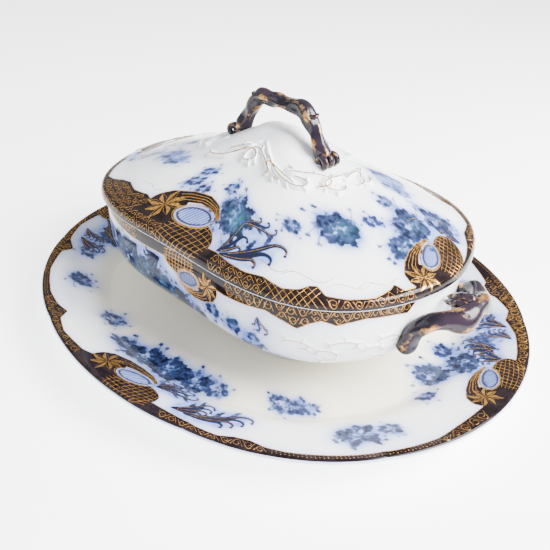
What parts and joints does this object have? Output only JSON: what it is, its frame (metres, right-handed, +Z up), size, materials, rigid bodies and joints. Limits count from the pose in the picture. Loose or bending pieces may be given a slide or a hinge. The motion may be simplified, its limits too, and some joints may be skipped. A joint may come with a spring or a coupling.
{
  "type": "soup tureen",
  "caption": "Oval covered soup tureen with arched lid handle, loop handles at both ends and a matching oval stand.",
  "frame": {"origin": "centre of the stand's footprint, on the surface it rests on", "axes": "+X along the long axis through both bowl handles, +Z up"},
  "size_m": [0.3962, 0.3342, 0.1768],
  "materials": {
    "printed_glaze": "glossy earthenware glaze over blue print, dark bands and gilding",
    "white_glaze": "glossy plain white glaze",
    "branch_glaze": "glossy dark glaze with rubbed gilding"
  },
  "bodies": {
    "stand": {"stand": "printed_glaze"},
    "bowl": {"bowl": "printed_glaze", "bowl_foot": "printed_glaze", "bowl_handle_left": "branch_glaze", "bowl_handle_right": "branch_glaze"},
    "lid": {"lid": "printed_glaze", "lid_ring": "white_glaze", "lid_handle": "branch_glaze"}
  },
  "joints": [
    {"name": "bowl_lift", "type": "slide", "parent": "stand", "child": "bowl", "axis": [0, 0, 1], "range_m": [0, 0.1]},
    {"name": "lid_lift", "type": "slide", "parent": "bowl", "child": "lid", "axis": [0, 0, 1], "range_m": [0, 0.12]}
  ]
}
